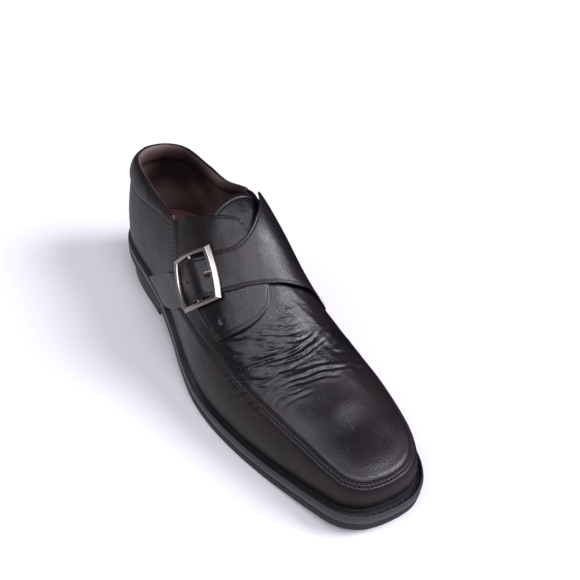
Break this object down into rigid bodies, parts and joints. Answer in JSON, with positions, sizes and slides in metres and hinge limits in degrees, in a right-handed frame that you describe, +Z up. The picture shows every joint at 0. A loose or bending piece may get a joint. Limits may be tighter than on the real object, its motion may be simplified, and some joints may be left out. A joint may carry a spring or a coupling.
{
  "type": "monk strap shoe",
  "caption": "Right leather monk strap shoe with an apron toe, a buckled strap over the instep, a stitched welt and a low block heel.",
  "frame": {"origin": "middle of the bounding box of the shoe in plan, on the floor it stands on", "axes": "+X to the toe, +Y to the medial (inner) side, +Z up"},
  "size_m": [0.3002, 0.101, 0.1138],
  "materials": {
    "upper_leather": "semi-gloss polished calf",
    "insole_leather": "matte lining leather",
    "welt_rubber": "matte",
    "sole_rubber": "matte",
    "nickel": "antique nickel"
  },
  "bodies": {
    "root": {"heel": "sole_rubber", "outsole": "sole_rubber", "midsole": "welt_rubber", "insole": "insole_leather", "upper": "upper_leather", "tongue": "upper_leather", "collar": "upper_leather", "heel_tab": "upper_leather", "facing": "upper_leather", "anchor": "upper_leather", "strap": "upper_leather", "buckle_frame": "nickel", "buckle_prong": "nickel"}
  },
  "joints": []
}
